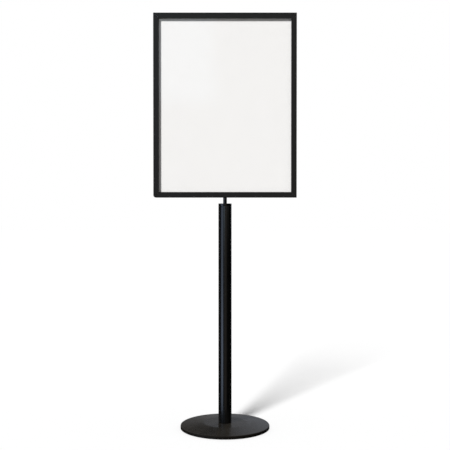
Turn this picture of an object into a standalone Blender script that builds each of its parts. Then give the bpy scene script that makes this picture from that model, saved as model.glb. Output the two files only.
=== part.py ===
"""Sign stand: a weighted round base, a post, and a picture frame that turns on a stem.

Metres, +Z up. The origin is on the floor under the centre of the base. The front of the
sign faces -Y and +X is to the right of someone who reads it.
"""

import math

import bmesh
import bpy
from mathutils import Vector

MM = 0.001
GAP = 0.3 * MM  # clearance between neighbouring pieces
BASE_FACETS = 48
POST_FACETS = 36

# Base
BASE_R = 177.8 * MM  # 14 in base
COVER_WALL = 1.5 * MM
RIM_TOP = 13.5 * MM  # height of the sloping top at its outer edge
RIM_RADIUS = 3.5 * MM
SKIRT_FOOT = 1.0 * MM
FOOT_Z = 22.0 * MM  # height of the flat disc that carries the post
PLATEAU_R = 87.0 * MM  # where the flat disc meets the slope
BREAK = 6.0 * MM  # half the width of the soft bend between them
RING_R = 175.6 * MM
RING_INNER_R = 150.0 * MM
RING_T = 3.0 * MM
WEIGHT_R = 175.4 * MM
COUNTERBORE_R = 17.0 * MM
COUNTERBORE_TOP = 13.1 * MM

# Base bolt, M12
BOLT_R = 6.0 * MM
BOLT_HEAD_AF = 19.0 * MM
BOLT_HEAD_Z = (2.0 * MM, 8.0 * MM)
BOLT_TOP = 36.0 * MM
BOLT_HOLE_R = 6.5 * MM
LOCK_WASHER_Z = (8.3 * MM, 10.5 * MM)
WASHER_Z = (10.8 * MM, 12.8 * MM)

# Post
POST_R = 26.2 * MM
POST_WALL = 1.6 * MM
CAP_TOP = 897.5 * MM
CAP_HEAD_H = 10.0 * MM
CAP_SPIGOT_H = 24.0 * MM
CAP_BORE_R = 11.0 * MM
CAP_BORE_DEPTH = 30.0 * MM
FOOT_INSERT_H = 18.0 * MM

# Stem and its bearing
STEM_R = 7.5 * MM
STEM_FOOT = 870.1 * MM
STUD_R = 4.0 * MM
GROOVE_R = 6.2 * MM
GROOVE_HALF = 3.5 * MM
BUSH_R = 10.7 * MM
BUSH_BORE_R = 7.8 * MM
THRUST_T = 2.0 * MM
LOCK_Z = 892.5 * MM  # height of the lock screw's axis
LOCK_R = 3.0 * MM
LOCK_HOLE_R = 3.3 * MM
LOCK_TIP_R = 2.2 * MM
LOCK_Y = (6.5 * MM, 8.0 * MM, 21.5 * MM)  # tip, shoulder, outer end

# Picture frame
FRAME_W = 570.0 * MM
FRAME_H = 733.0 * MM
FRAME_Z = 921.0 * MM
FACE = 22.0 * MM  # width of a rail's face
DEPTH = 25.0 * MM
MITRE_GAP = 0.2 * MM
WEB = 5.0 * MM  # solid outer wall behind the sheet groove
GROOVE_W = 10.0 * MM
CHAMBER_U = (4.4 * MM, 20.4 * MM)
CHAMBER_V = (6.5 * MM, 11.0 * MM)
SLOT_HALF = 280.0 * MM  # half length of the loading slot in the top rail
CORNER_R = 10.0 * MM  # rounding of the lower left outer corner

# Corner keys and their screws
KEY_U = (4.8 * MM, 20.0 * MM)
KEY_V = (6.9 * MM, 10.6 * MM)
KEY_LEG = 60.0 * MM
SCREW_AT = 40.0 * MM  # from the outer corner
SCREW_U = 12.4 * MM
SCREW_R = 1.7 * MM
SCREW_HOLE_R = 2.0 * MM
SCREW_HEAD_R = 3.5 * MM
SCREW_HEAD_H = 2.2 * MM

# Nut bar in the bottom rail
BAR = (60.0 * MM, 9.4 * MM, 6.0 * MM)
BAR_SCREW_X = 20.0 * MM
STRIP_X = (32.0 * MM, 262.0 * MM)
STRIP_H = 7.9 * MM

# Sheets, from front to back
SHEET_W = 558.8 * MM  # 22 in
POSTER_H = 711.2 * MM  # 28 in
LENS_H = 716.5 * MM
SHEET_FOOT = FRAME_Z + 13.5 * MM
LENS_T = 2.0 * MM
POSTER_T = 0.5 * MM
BOARD_T = 3.0 * MM
SHEET_GAP = 0.35 * MM

BLACK = (0.012, 0.012, 0.013, 1.0)
PALETTE = {
    "powder_coat": (BLACK, 0.42, 0.0),
    "gloss_coat": ((0.010, 0.011, 0.014, 1.0), 0.24, 0.0),
    "base_coat": ((0.030, 0.030, 0.032, 1.0), 0.48, 0.0),
    "iron": ((0.09, 0.085, 0.08, 1.0), 0.7, 0.9),
    "zinc": ((0.62, 0.63, 0.65, 1.0), 0.32, 1.0),
    "black_steel": ((0.03, 0.03, 0.032, 1.0), 0.4, 0.7),
    "rubber": ((0.015, 0.015, 0.015, 1.0), 0.85, 0.0),
    "acetal": ((0.03, 0.03, 0.031, 1.0), 0.4, 0.0),
    "clear": ((0.95, 0.97, 0.97, 1.0), 0.05, 0.0),
    "paper": ((0.9, 0.9, 0.88, 1.0), 0.85, 0.0),
    "board": ((0.78, 0.76, 0.70, 1.0), 0.8, 0.0),
}


# ---------------------------------------------------------------- helpers

def finish(obj, look):
    """Give the object its own material, and smooth shading with sharp edges kept."""
    colour, roughness, metallic = PALETTE[look]
    mat = bpy.data.materials.new(obj.name + "_finish")
    mat.use_nodes = True
    shader = mat.node_tree.nodes["Principled BSDF"]
    shader.inputs["Base Color"].default_value = colour
    shader.inputs["Roughness"].default_value = roughness
    shader.inputs["Metallic"].default_value = metallic
    if look == "clear":
        shader.inputs["Transmission Weight"].default_value = 0.95
    obj.data.materials.append(mat)
    obj.data.shade_smooth()
    obj.data.set_sharp_from_angle(angle=math.radians(35))


def add(name, bm, look=None, at=(0, 0, 0), turn=(0, 0, 0), parent=None):
    bmesh.ops.remove_doubles(bm, verts=bm.verts, dist=1e-6)
    bmesh.ops.recalc_face_normals(bm, faces=bm.faces)
    mesh = bpy.data.meshes.new(name)
    bm.to_mesh(mesh)
    bm.free()
    obj = bpy.data.objects.new(name, mesh)
    bpy.context.scene.collection.objects.link(obj)
    obj.location = at
    obj.rotation_euler = turn
    obj.parent = parent
    if look:
        finish(obj, look)
    return obj


def empty(name, at):
    obj = bpy.data.objects.new(name, None)
    bpy.context.scene.collection.objects.link(obj)
    obj.location = at
    return obj


def spun(profile, segments):
    """A closed (radius, height) outline turned about Z. Edges on the axis are left out."""
    bm = bmesh.new()
    verts = [bm.verts.new((r, 0, z)) for r, z in profile]
    for a, b in zip(verts, verts[1:] + verts[:1]):
        if a.co.x > 0 or b.co.x > 0:
            bm.edges.new((a, b))
    bmesh.ops.spin(
        bm, geom=bm.verts[:] + bm.edges[:], cent=(0, 0, 0), axis=(0, 0, 1),
        angle=2 * math.pi, steps=segments, use_merge=True,
    )
    return bm


def block(low, high):
    bm = bmesh.new()
    bmesh.ops.create_cube(bm, size=1.0)
    low, high = Vector(low), Vector(high)
    for v in bm.verts:
        v.co = Vector(((v.co[i] + 0.5) * (high[i] - low[i]) + low[i]) for i in range(3))
    return bm


def plate(outline, y0, y1):
    """An outline in X and Z, extruded along Y."""
    bm = bmesh.new()
    face = bm.faces.new([bm.verts.new((x, y0, z)) for x, z in outline])
    grown = bmesh.ops.extrude_face_region(bm, geom=[face])
    moved = [g for g in grown["geom"] if isinstance(g, bmesh.types.BMVert)]
    bmesh.ops.translate(bm, verts=moved, vec=(0, y1 - y0, 0))
    return bm


def rod(radius, length, segments, axis="Z", tip_radius=None):
    """A cylinder or cone from the origin along +Z or +Y."""
    bm = spun([(0, 0), (radius, 0), (radius if tip_radius is None else tip_radius, length), (0, length)], segments)
    if axis == "Y":
        for v in bm.verts:
            v.co = Vector((v.co.x, v.co.z, -v.co.y))
    return bm


def cut(target, name, bm, at=(0, 0, 0)):
    """Take the shape away from the target, in the target's own coordinates."""
    cutter = add(name, bm, at=at, parent=target)
    cutter.hide_render = True
    cutter.display_type = "WIRE"
    mod = target.modifiers.new(name, "BOOLEAN")
    mod.operation = "DIFFERENCE"
    mod.solver = "EXACT"
    mod.object = cutter


def hexagonal(bm, radius, z_min, segments=12):
    """Pull every second point of a ring in, so that twelve points make a hexagon."""
    for v in bm.verts:
        r = math.hypot(v.co.x, v.co.y)
        if abs(r - radius) < 1e-6 and v.co.z >= z_min - 1e-7:
            step = round(math.atan2(v.co.y, v.co.x) / (2 * math.pi / segments))
            if step % 2:
                v.co.x *= math.cos(math.pi / 6)
                v.co.y *= math.cos(math.pi / 6)


def dome_z(r):
    """Height of the cover's top: flat in the middle, a soft bend, then a straight slope to the rim."""
    slope = (FOOT_Z - RIM_TOP) / (BASE_R - RIM_RADIUS - PLATEAU_R)
    past = r - (PLATEAU_R - BREAK)
    if past <= 0:
        return FOOT_Z
    if past < 2 * BREAK:
        return FOOT_Z - slope * past * past / (4 * BREAK)
    return FOOT_Z - slope * (r - PLATEAU_R)


def make_base():
    dome = [PLATEAU_R - BREAK, PLATEAU_R, PLATEAU_R + BREAK, BASE_R - RIM_RADIUS]
    outer = [(r, dome_z(r)) for r in dome]
    for a in (60, 30, 0):
        outer.append((
            BASE_R - RIM_RADIUS + RIM_RADIUS * math.cos(math.radians(a)),
            RIM_TOP - RIM_RADIUS + RIM_RADIUS * math.sin(math.radians(a)),
        ))
    outer.append((BASE_R, SKIRT_FOOT))
    inner_r = BASE_R - COVER_WALL
    inner = [(inner_r, SKIRT_FOOT), (inner_r, RIM_TOP - RIM_RADIUS), (inner_r - 1.9 * MM, RIM_TOP - COVER_WALL)]
    inner += [(r, dome_z(r) - COVER_WALL) for r in reversed(dome[:-1])]
    hole = [(BOLT_HOLE_R, FOOT_Z - COVER_WALL), (BOLT_HOLE_R, FOOT_Z)]
    add("base_cover", spun(outer + inner + hole, BASE_FACETS), "base_coat")

    below = COVER_WALL + 0.4 * MM
    foot = RING_T + GAP
    weight = [(BOLT_HOLE_R, FOOT_Z - below), (PLATEAU_R - BREAK, FOOT_Z - below),
              (PLATEAU_R + BREAK, dome_z(PLATEAU_R + BREAK) - below - 0.2 * MM),
              (WEIGHT_R - 3.5 * MM, RIM_TOP - below - 0.7 * MM),
              (WEIGHT_R, RIM_TOP - below - 3.5 * MM),
              (WEIGHT_R, foot), (COUNTERBORE_R, foot), (COUNTERBORE_R, COUNTERBORE_TOP),
              (BOLT_HOLE_R, COUNTERBORE_TOP)]
    add("base_weight", spun(weight, BASE_FACETS), "iron")

    add("floor_ring", spun([(RING_INNER_R, 0), (RING_R, 0), (RING_R, RING_T), (RING_INNER_R, RING_T)], BASE_FACETS), "rubber")

    # M12 bolt from below, with its lock washer and washer in the counterbore
    head_r = BOLT_HEAD_AF / 2 / math.cos(math.pi / 6)
    z0, z1 = BOLT_HEAD_Z
    bm = spun([(0, z0), (head_r, z0), (head_r, z1), (BOLT_R, z1), (BOLT_R, BOLT_TOP - 1 * MM),
               (BOLT_R - 1 * MM, BOLT_TOP), (0, BOLT_TOP)], 12)
    hexagonal(bm, head_r, z0)
    add("base_bolt", bm, "zinc")
    for name, (low, high), radius in (("base_lock_washer", LOCK_WASHER_Z, 10.0 * MM),
                                      ("base_washer", WASHER_Z, 12.0 * MM)):
        add(name, spun([(BOLT_HOLE_R, low), (radius, low), (radius, high), (BOLT_HOLE_R, high)], 24), "zinc")


# ---------------------------------------------------------------- post

def make_post():
    low, high = FOOT_Z + GAP, CAP_TOP - CAP_HEAD_H - GAP
    inner = POST_R - POST_WALL
    add("post_tube", spun([(inner, low), (POST_R, low), (POST_R, high), (inner, high)], POST_FACETS), "gloss_coat")

    fit = inner - GAP
    low = FOOT_Z + 2 * GAP
    bore = BOLT_R + 0.35 * MM
    add("foot_insert", spun([(bore, low), (fit, low), (fit, low + FOOT_INSERT_H), (bore, low + FOOT_INSERT_H)], POST_FACETS), "zinc")

    seat = CAP_TOP - CAP_HEAD_H
    edge = 1.0 * MM
    cap = add("post_cap", spun([
        (0, seat - CAP_SPIGOT_H), (fit - edge, seat - CAP_SPIGOT_H), (fit, seat - CAP_SPIGOT_H + edge),
        (fit, seat), (POST_R, seat), (POST_R, CAP_TOP - edge), (POST_R - edge, CAP_TOP),
        (CAP_BORE_R, CAP_TOP), (CAP_BORE_R, CAP_TOP - CAP_BORE_DEPTH), (0, CAP_TOP - CAP_BORE_DEPTH),
    ], POST_FACETS), "gloss_coat")
    cut(cap, "cap_lock_hole", rod(LOCK_HOLE_R, POST_R, 16, "Y"), at=(0, 5 * MM, LOCK_Z))

    floor = CAP_TOP - CAP_BORE_DEPTH + GAP
    add("thrust_disc", spun([(0, floor), (BUSH_R, floor), (BUSH_R, floor + THRUST_T), (0, floor + THRUST_T)], 32), "acetal")
    low, high = floor + THRUST_T + GAP, CAP_TOP - 0.5 * MM
    bush = add("stem_bush", spun([(BUSH_BORE_R, low), (BUSH_R, low), (BUSH_R, high), (BUSH_BORE_R, high)], 32), "acetal")
    cut(bush, "bush_lock_hole", rod(LOCK_HOLE_R, 20 * MM, 16, "Y"), at=(0, 5 * MM, LOCK_Z))

    # Grub screw, from its dog point in the stem's groove to the hex socket at the back
    tip, shoulder, end = LOCK_Y
    socket = 1.5 * MM
    bm = spun([(0, 0), (LOCK_TIP_R, 0), (LOCK_TIP_R, shoulder - tip), (LOCK_R, shoulder - tip), (LOCK_R, end - tip),
               (socket, end - tip), (socket, end - tip - 4 * MM), (0, end - tip - 4 * MM)], 12)
    hexagonal(bm, socket, end - tip - 4 * MM)
    for v in bm.verts:
        v.co = Vector((v.co.x, v.co.z, -v.co.y))
    add("lock_screw", bm, "black_steel", at=(0, tip, LOCK_Z))


# ---------------------------------------------------------------- sign head

def rail(name, length, at, turn, parent):
    """A bar along local X. Local Z runs inward from the outer edge and the ends are mitred."""
    bm = bmesh.new()
    half = length / 2 - MITRE_GAP
    section = [(-DEPTH / 2, 0), (DEPTH / 2, 0), (DEPTH / 2, FACE), (-DEPTH / 2, FACE)]
    face = bm.faces.new([bm.verts.new((-half + u, v, u)) for v, u in section])
    grown = bmesh.ops.extrude_face_region(bm, geom=[face])
    for v in [g for g in grown["geom"] if isinstance(g, bmesh.types.BMVert)]:
        v.co.x = half - v.co.z
    obj = add(name, bm, "powder_coat", at=at, turn=turn, parent=parent)

    far = length / 2 + 10 * MM
    cut(obj, name + "_groove", block((-far, -GROOVE_W / 2, WEB), (far, GROOVE_W / 2, FACE + 5 * MM)))
    for side, sign in (("front", -1), ("rear", 1)):
        v0, v1 = sorted((sign * CHAMBER_V[0], sign * CHAMBER_V[1]))
        cut(obj, name + "_chamber_" + side, block((-far, v0, CHAMBER_U[0]), (far, v1, CHAMBER_U[1])))
    for side, sign in (("low", -1), ("high", 1)):
        cut(obj, name + "_screw_hole_" + side, rod(SCREW_HOLE_R, 6 * MM, 12, "Y"),
            at=(sign * (length / 2 - SCREW_AT), 9 * MM, SCREW_U))
    return obj


def make_frame(head):
    z_mid = FRAME_H / 2
    quarter = math.pi / 2
    bottom = rail("bottom_rail", FRAME_W, (0, 0, 0), (0, 0, 0), head)
    top = rail("top_rail", FRAME_W, (0, 0, FRAME_H), (0, 2 * quarter, 0), head)
    left = rail("left_rail", FRAME_H, (-FRAME_W / 2, 0, z_mid), (0, quarter, 0), head)
    rail("right_rail", FRAME_H, (FRAME_W / 2, 0, z_mid), (0, -quarter, 0), head)

    # The sheets drop in through the top
    cut(top, "loading_slot", block((-SLOT_HALF, -GROOVE_W / 2, -5 * MM), (SLOT_HALF, GROOVE_W / 2, WEB + 2 * MM)))

    # Stem hole and two countersunk holes for the nut bar
    cut(bottom, "stud_hole", rod(STUD_R + GAP, 12 * MM, 24), at=(0, 0, -3 * MM))
    for side, sign in (("left", -1), ("right", 1)):
        x = sign * BAR_SCREW_X
        cut(bottom, "bar_hole_" + side, rod(2.4 * MM, 12 * MM, 16), at=(x, 0, -3 * MM))
        cut(bottom, "bar_sink_" + side, rod(5.3 * MM, 3.5 * MM, 16, tip_radius=1.8 * MM), at=(x, 0, -1 * MM))

    # Rounded outer corner, lower left. The corner block is cut from both rails there.
    for target, flip in ((bottom, 1), (left, -1)):
        length = FRAME_W if target is bottom else FRAME_H
        reach = 3 * MM
        # In each rail's own coordinates the corner is at one end of its outer edge
        outline = [(-reach, -reach), (CORNER_R, -reach)]
        for i in range(9):
            a = math.radians(270 - i * 90 / 8)
            outline.append((CORNER_R + CORNER_R * math.cos(a), CORNER_R + CORNER_R * math.sin(a)))
        outline.append((-reach, CORNER_R))
        outline = [(flip * (x - length / 2), z) for x, z in outline]
        cut(target, target.name + "_corner", plate(outline, -DEPTH, DEPTH))


def make_keys(head):
    a, b = KEY_U
    outline = [(a, a), (KEY_LEG, a), (KEY_LEG, b), (b, b), (b, KEY_LEG), (a, KEY_LEG)]
    quarter = math.pi / 2
    corners = (
        ("lower_left", (-FRAME_W / 2, 0, 0), 0),
        ("lower_right", (FRAME_W / 2, 0, 0), -quarter),
        ("upper_right", (FRAME_W / 2, 0, FRAME_H), 2 * quarter),
        ("upper_left", (-FRAME_W / 2, 0, FRAME_H), quarter),
    )
    socket = 1.25 * MM
    top = SCREW_HEAD_H
    screw = spun([
        (0, -5.4 * MM), (SCREW_R, -5.4 * MM), (SCREW_R, 0), (SCREW_HEAD_R, 0), (SCREW_HEAD_R, 0.9 * MM),
        (2.2 * MM, top), (socket, top), (socket, top - 1.4 * MM), (0, top - 1.4 * MM),
    ], 12)
    hexagonal(screw, socket, top - 1.4 * MM)
    for v in screw.verts:
        v.co = Vector((v.co.x, v.co.z, -v.co.y))
    for name, at, angle in corners:
        add("corner_key_front_" + name, plate(outline, -KEY_V[1], -KEY_V[0]), "zinc", at=at, turn=(0, angle, 0), parent=head)
        key = add("corner_key_rear_" + name, plate(outline, KEY_V[0], KEY_V[1]), "zinc", at=at, turn=(0, angle, 0), parent=head)
        for leg, (x, z) in (("a", (SCREW_AT, SCREW_U)), ("b", (SCREW_U, SCREW_AT))):
            cut(key, "key_hole_" + name + "_" + leg, rod(SCREW_HOLE_R, 10 * MM, 12, "Y"), at=(x, 4 * MM, z))
            # The screw stands on the back face, at the same place as the hole
            place = Vector(at) + Vector((x * math.cos(angle) + z * math.sin(angle), 0, -x * math.sin(angle) + z * math.cos(angle)))
            place.y = DEPTH / 2 + GAP
            add("key_screw_" + name + "_" + leg, screw.copy(), "black_steel", at=place, parent=head)
    screw.free()


def make_stem(head):
    foot = STEM_FOOT - FRAME_Z
    lock = LOCK_Z - FRAME_Z
    top = -GAP
    stud = WEB + GAP + BAR[2] - 0.3 * MM
    add("stem", spun([
        (0, foot), (STEM_R - 0.8 * MM, foot), (STEM_R, foot + 0.8 * MM), (STEM_R, lock - GROOVE_HALF), (GROOVE_R, lock - GROOVE_HALF),
        (GROOVE_R, lock + GROOVE_HALF), (STEM_R, lock + GROOVE_HALF), (STEM_R, top), (STUD_R, top), (STUD_R, stud), (0, stud),
    ], 32), "gloss_coat", parent=head)

    low = WEB + GAP
    bar = add("nut_bar", block((-BAR[0] / 2, -BAR[1] / 2, low), (BAR[0] / 2, BAR[1] / 2, low + BAR[2])), "zinc", parent=head)
    cut(bar, "bar_stud_bore", rod(STUD_R + GAP, 20 * MM, 24), at=(0, 0, 0))
    for side, sign in (("left", -1), ("right", 1)):
        x = sign * BAR_SCREW_X
        cut(bar, "bar_screw_bore_" + side, rod(2.3 * MM, 20 * MM, 12), at=(x, 0, 0))
        # Countersunk M4, head up against the rail from below
        add("bar_screw_" + side, spun([
            (0, 1.6 * MM), (1.2 * MM, 1.6 * MM), (1.2 * MM, 0.05 * MM), (4.0 * MM, 0.05 * MM), (2.0 * MM, 2.05 * MM),
            (2.0 * MM, low + BAR[2] - 0.3 * MM), (0, low + BAR[2] - 0.3 * MM),
        ], 16), "black_steel", at=(x, 0, 0), parent=head)
        x0, x1 = sorted((sign * STRIP_X[0], sign * STRIP_X[1]))
        add("rest_strip_" + side, block((x0, -BAR[1] / 2, low), (x1, BAR[1] / 2, low + STRIP_H)), "acetal", parent=head)


def make_sheets():
    """Each sheet's origin is at the middle of its lower edge, on the line it slides along."""
    stack = (("front_lens", LENS_T, LENS_H, "clear"), ("front_poster", POSTER_T, POSTER_H, "paper"),
             ("backing_board", BOARD_T, POSTER_H, "board"), ("rear_poster", POSTER_T, POSTER_H, "paper"),
             ("rear_lens", LENS_T, LENS_H, "clear"))
    y = -(sum(t for _, t, _, _ in stack) + SHEET_GAP * (len(stack) - 1)) / 2
    for name, thick, high, look in stack:
        add(name, block((-SHEET_W / 2, -thick / 2, 0), (SHEET_W / 2, thick / 2, high)), look,
            at=(0, y + thick / 2, SHEET_FOOT))
        y += thick + SHEET_GAP


# ---------------------------------------------------------------- assembly

for old in list(bpy.data.objects):
    bpy.data.objects.remove(old, do_unlink=True)

make_base()
make_post()
head_axis = empty("head_axis", (0, 0, FRAME_Z))  # on the swivel's axis
make_frame(head_axis)
make_keys(head_axis)
make_stem(head_axis)
make_sheets()
bpy.context.view_layer.update()
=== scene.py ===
"""Sign stand: the surface pieces, finishes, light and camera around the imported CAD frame.

The stand rests on z = 0 with its round base and post centred on the Z axis. The sign head is wide
in X and thin in Y. The camera stands on the -Y side, and the small screws sit on the +Y side.
"""

import math
from functools import cached_property, reduce

import bmesh
import bpy
from mathutils import Matrix, Vector


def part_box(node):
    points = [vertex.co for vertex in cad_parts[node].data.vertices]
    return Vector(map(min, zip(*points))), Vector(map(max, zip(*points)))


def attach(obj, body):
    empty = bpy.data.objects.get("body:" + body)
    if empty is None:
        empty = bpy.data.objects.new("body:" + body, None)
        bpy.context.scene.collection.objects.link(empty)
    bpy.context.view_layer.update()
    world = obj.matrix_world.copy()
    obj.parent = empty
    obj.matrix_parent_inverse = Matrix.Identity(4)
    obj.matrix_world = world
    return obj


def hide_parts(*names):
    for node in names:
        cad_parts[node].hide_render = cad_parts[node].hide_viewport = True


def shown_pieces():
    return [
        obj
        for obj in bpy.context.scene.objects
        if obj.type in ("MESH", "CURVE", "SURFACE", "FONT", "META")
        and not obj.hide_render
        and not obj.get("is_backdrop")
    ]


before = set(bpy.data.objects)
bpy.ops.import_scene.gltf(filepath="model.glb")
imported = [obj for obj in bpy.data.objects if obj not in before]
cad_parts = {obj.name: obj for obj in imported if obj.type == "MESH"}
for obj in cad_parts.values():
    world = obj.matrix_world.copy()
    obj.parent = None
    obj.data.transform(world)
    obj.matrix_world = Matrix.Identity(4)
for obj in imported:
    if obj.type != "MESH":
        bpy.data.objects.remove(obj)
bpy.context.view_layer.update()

MM = 0.001
BOX = {name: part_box(name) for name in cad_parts}


def low(node):
    return BOX[node][0]


def high(node):
    return BOX[node][1]


def middle(node, axis):
    return (getattr(low(node), axis) + getattr(high(node), axis)) / 2


# ------------------------------------------------------------------ outlines

def fillet(points, steps=5):
    """A closed outline from (x, y) or (x, y, radius) points, with an arc where there is a radius."""
    out = []
    for i, point in enumerate(points):
        radius = point[2] if len(point) > 2 else 0.0
        corner = Vector(point[:2])
        if radius <= 0:
            out.append((corner.x, corner.y))
            continue
        back = Vector(points[i - 1][:2]) - corner
        ahead = Vector(points[(i + 1) % len(points)][:2]) - corner
        shortest = min(back.length, ahead.length)
        back, ahead = back / back.length, ahead / ahead.length
        half = math.acos(max(-1.0, min(1.0, back.dot(ahead)))) / 2
        if half > math.pi / 2 - 1e-3:  # a straight run has no corner to round
            out.append((corner.x, corner.y))
            continue
        run = min(radius / math.tan(half), 0.49 * shortest)
        radius = run * math.tan(half)
        centre = corner + (back + ahead).normalized() * (radius / math.sin(half))
        start, end = corner + back * run - centre, corner + ahead * run - centre
        first = math.atan2(start.y, start.x)
        turn = (math.atan2(end.y, end.x) - first + math.pi) % (2 * math.pi) - math.pi
        for k in range(steps + 1):
            angle = first + turn * k / steps
            out.append((centre.x + radius * math.cos(angle), centre.y + radius * math.sin(angle)))
    return out


def thread(start, stop, pitch, tooth):
    """Outline points of a thread: the (radius, rise) points of one tooth, repeated up to stop."""
    out, z = [], start
    while z < stop:
        out += [(radius, z + rise) for radius, rise in tooth]
        z += pitch
    return out


def hexed(angle):
    """Distance from the centre to the side of a hexagon of apothem 1, at an angle."""
    return 1.0 / math.cos((angle + math.pi / 6) % (math.pi / 3) - math.pi / 6)


def hex_rings(indexes):
    """A lathe shape that makes the rings of these outline points hexagonal."""
    return lambda i, angle, radius: radius * hexed(angle) if i in indexes else radius


# ------------------------------------------------------------------ meshes

def shade(mesh, smooth):
    mesh.shade_smooth()
    mesh.set_sharp_from_angle(angle=math.radians(smooth))


def linked(name, bm):
    """An object in the scene made from a bmesh, its faces turned outwards."""
    bmesh.ops.recalc_face_normals(bm, faces=bm.faces)
    mesh = bpy.data.meshes.new(name)
    bm.to_mesh(mesh)
    bm.free()
    obj = bpy.data.objects.new(name, mesh)
    bpy.context.scene.collection.objects.link(obj)
    return obj


def made(name, bm, smooth=35):
    """A shaded object; edges sharper than smooth degrees stay sharp."""
    bmesh.ops.remove_doubles(bm, verts=bm.verts, dist=2e-6)
    obj = linked(name, bm)
    shade(obj.data, smooth)
    return obj


def join_rings(bm, a, b):
    """Faces between two rings of vertices; a ring of one vertex is a pole."""
    if len(a) == 1 and len(b) == 1:
        return
    count = max(len(a), len(b))
    for k in range(count):
        j = (k + 1) % count
        if len(a) == 1:
            bm.faces.new((a[0], b[j], b[k]))
        elif len(b) == 1:
            bm.faces.new((a[k], a[j], b[0]))
        else:
            bm.faces.new((a[k], a[j], b[j], b[k]))


def lathe(name, outline, segments, shape=None, centre_x=0.0, smooth=35, wobble=None):
    """A closed (radius, height) outline turned about Z.

    shape(i, angle, radius) may bend the ring of point i, and wobble(angle, radius, z) lifts it.
    """
    bm = bmesh.new()
    rings = []
    for i, (radius, z) in enumerate(outline):
        if radius < 1e-9:
            rings.append([bm.verts.new((centre_x, 0, z))])
            continue
        ring = []
        for k in range(segments):
            angle = 2 * math.pi * k / segments
            reach = shape(i, angle, radius) if shape else radius
            lift = wobble(angle, reach, z) if wobble else 0.0
            x, y = centre_x + reach * math.cos(angle), reach * math.sin(angle)
            ring.append(bm.verts.new((x, y, z + lift)))
        rings.append(ring)
    for a, b in zip(rings, rings[1:] + rings[:1]):
        join_rings(bm, a, b)
    return made(name, bm, smooth)


def sleeve(name, node, bore, edges, segments, steps):
    """A ring as wide and tall as the node.

    edges are the radii of its inner low, outer low, outer high and inner high edges.
    """
    outer, z0, z1 = high(node).x, low(node).z, high(node).z
    corners = ((bore, z0), (outer, z0), (outer, z1), (bore, z1))
    outline = [(*corner, edge) for corner, edge in zip(corners, edges)]
    return lathe(name, fillet(outline, steps), segments)


def lay_along_y(obj, x, y, z):
    """Turns a piece made along Z to lie along +Y, starting at a place."""
    for v in obj.data.vertices:
        v.co = Vector((x + v.co.x, y + v.co.z, z - v.co.y))
    return obj


def cuboid(lo, hi):
    bm = bmesh.new()
    bmesh.ops.create_cube(bm, size=1.0)
    for v in bm.verts:
        v.co = Vector(((v.co[i] + 0.5) * (hi[i] - lo[i]) + lo[i]) for i in range(3))
    return bm


def block(name, node, bevel, segments=3):
    """A box that fills the node's box, with all its edges rounded."""
    bm = cuboid(low(node), high(node))
    bmesh.ops.bevel(
        bm, geom=bm.edges[:], offset=bevel, segments=segments, profile=0.5, affect="EDGES")
    return made(name, bm, 50)


def weigh(obj):
    mod = obj.modifiers.new("weighted_normals", "WEIGHTED_NORMAL")
    mod.keep_sharp = True
    mod.weight = 60
    return obj


# ------------------------------------------------------------------ cutting

def round_tool(name, radius, start, end, segments=48, tip=None):
    """A cutting cylinder, or a cone where the end radius tip is given, between two points."""
    start, end = Vector(start), Vector(end)
    turn = (end - start).to_track_quat("Z", "Y")
    bm = bmesh.new()
    rings = []
    for r, at in ((radius, start), (radius if tip is None else tip, end)):
        ring = []
        for k in range(segments):
            angle = 2 * math.pi * k / segments
            spoke = Vector((r * math.cos(angle), r * math.sin(angle), 0))
            ring.append(bm.verts.new(at + turn @ spoke))
        rings.append(ring)
    join_rings(bm, *rings)
    bm.faces.new(rings[0][::-1])
    bm.faces.new(rings[1])
    return linked(name, bm)


def upright_tool(name, radius, x, z0, z1, **options):
    return round_tool(name, radius, (x, 0, z0), (x, 0, z1), **options)


def subtract(obj, tools):
    for tool in tools:
        mod = obj.modifiers.new(tool.name, "BOOLEAN")
        mod.operation, mod.solver, mod.object = "DIFFERENCE", "EXACT", tool


def settle(obj, tools, smooth=35):
    """Turns the modifiers into plain mesh, drops the cutters and sets the shading."""
    bpy.context.view_layer.update()
    depsgraph = bpy.context.evaluated_depsgraph_get()
    evaluated = obj.evaluated_get(depsgraph)
    mesh = bpy.data.meshes.new_from_object(evaluated, depsgraph=depsgraph)
    obj.modifiers.clear()
    obj.data = mesh
    shade(mesh, smooth)
    for tool in tools:
        bpy.data.objects.remove(tool, do_unlink=True)


def carve(obj, tools, smooth=35):
    subtract(obj, tools)
    settle(obj, tools, smooth)
    return obj


# ------------------------------------------------------------------ node helpers

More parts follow.
